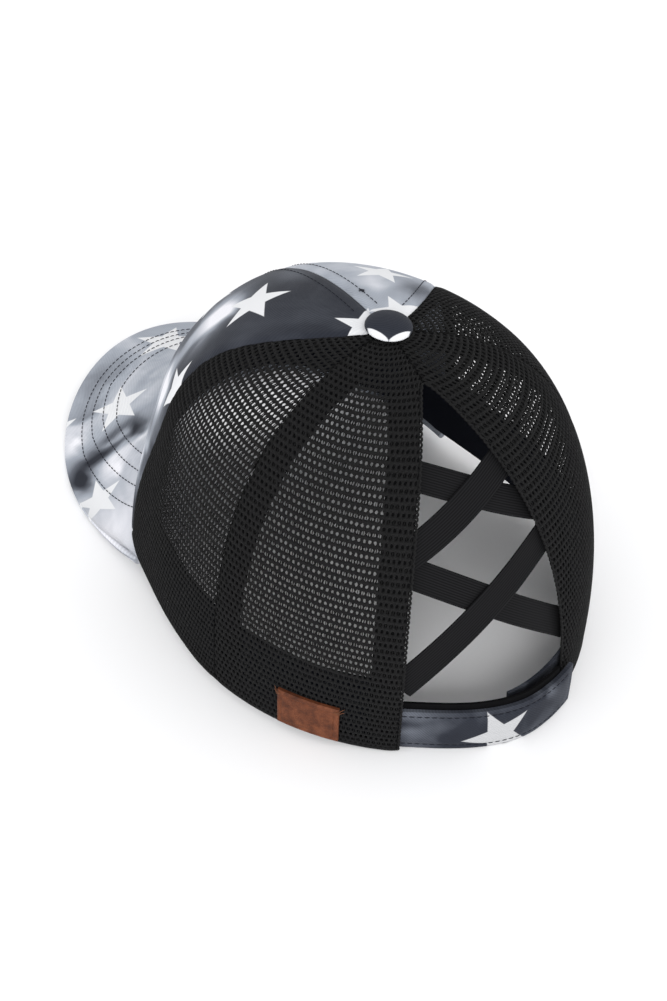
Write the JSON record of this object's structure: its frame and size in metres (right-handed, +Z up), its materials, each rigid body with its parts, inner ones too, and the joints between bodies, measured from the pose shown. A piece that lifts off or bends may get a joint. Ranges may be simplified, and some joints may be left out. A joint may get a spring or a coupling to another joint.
{
  "type": "ponytail baseball cap",
  "caption": "Soft baseball cap with printed cotton front panels and curved brim, black net sides, and a tall back opening laced with crossed elastic straps above a rim closure.",
  "frame": {"origin": "middle of the bounding box at its base, where the cap rests on the floor", "axes": "+Z up, -Y towards the front, where the brim points, +X the wearer's left"},
  "size_m": [0.164, 0.2756, 0.1227],
  "materials": {
    "printed_cotton": "matt cotton, tie-dyed with white stars",
    "black_net": "matt knitted net",
    "black_elastic": "matt ribbed elastic",
    "black_lining": "smooth dark cotton",
    "brown_leather": "matt, faintly grained"
  },
  "bodies": {
    "root": {"front_panel_left": "printed_cotton", "front_panel_right": "printed_cotton", "side_net_left": "black_net", "side_net_right": "black_net", "rear_net_left": "black_net", "rear_net_right": "black_net", "sweatband": "black_lining", "brim": "printed_cotton", "closure_strap": "printed_cotton", "closure_backing": "black_lining", "closure_tab": "printed_cotton", "leather_label": "brown_leather", "elastic_strap_1": "black_elastic", "elastic_strap_2": "black_elastic", "elastic_strap_3": "black_elastic", "elastic_strap_4": "black_elastic", "button": "printed_cotton"}
  },
  "joints": []
}
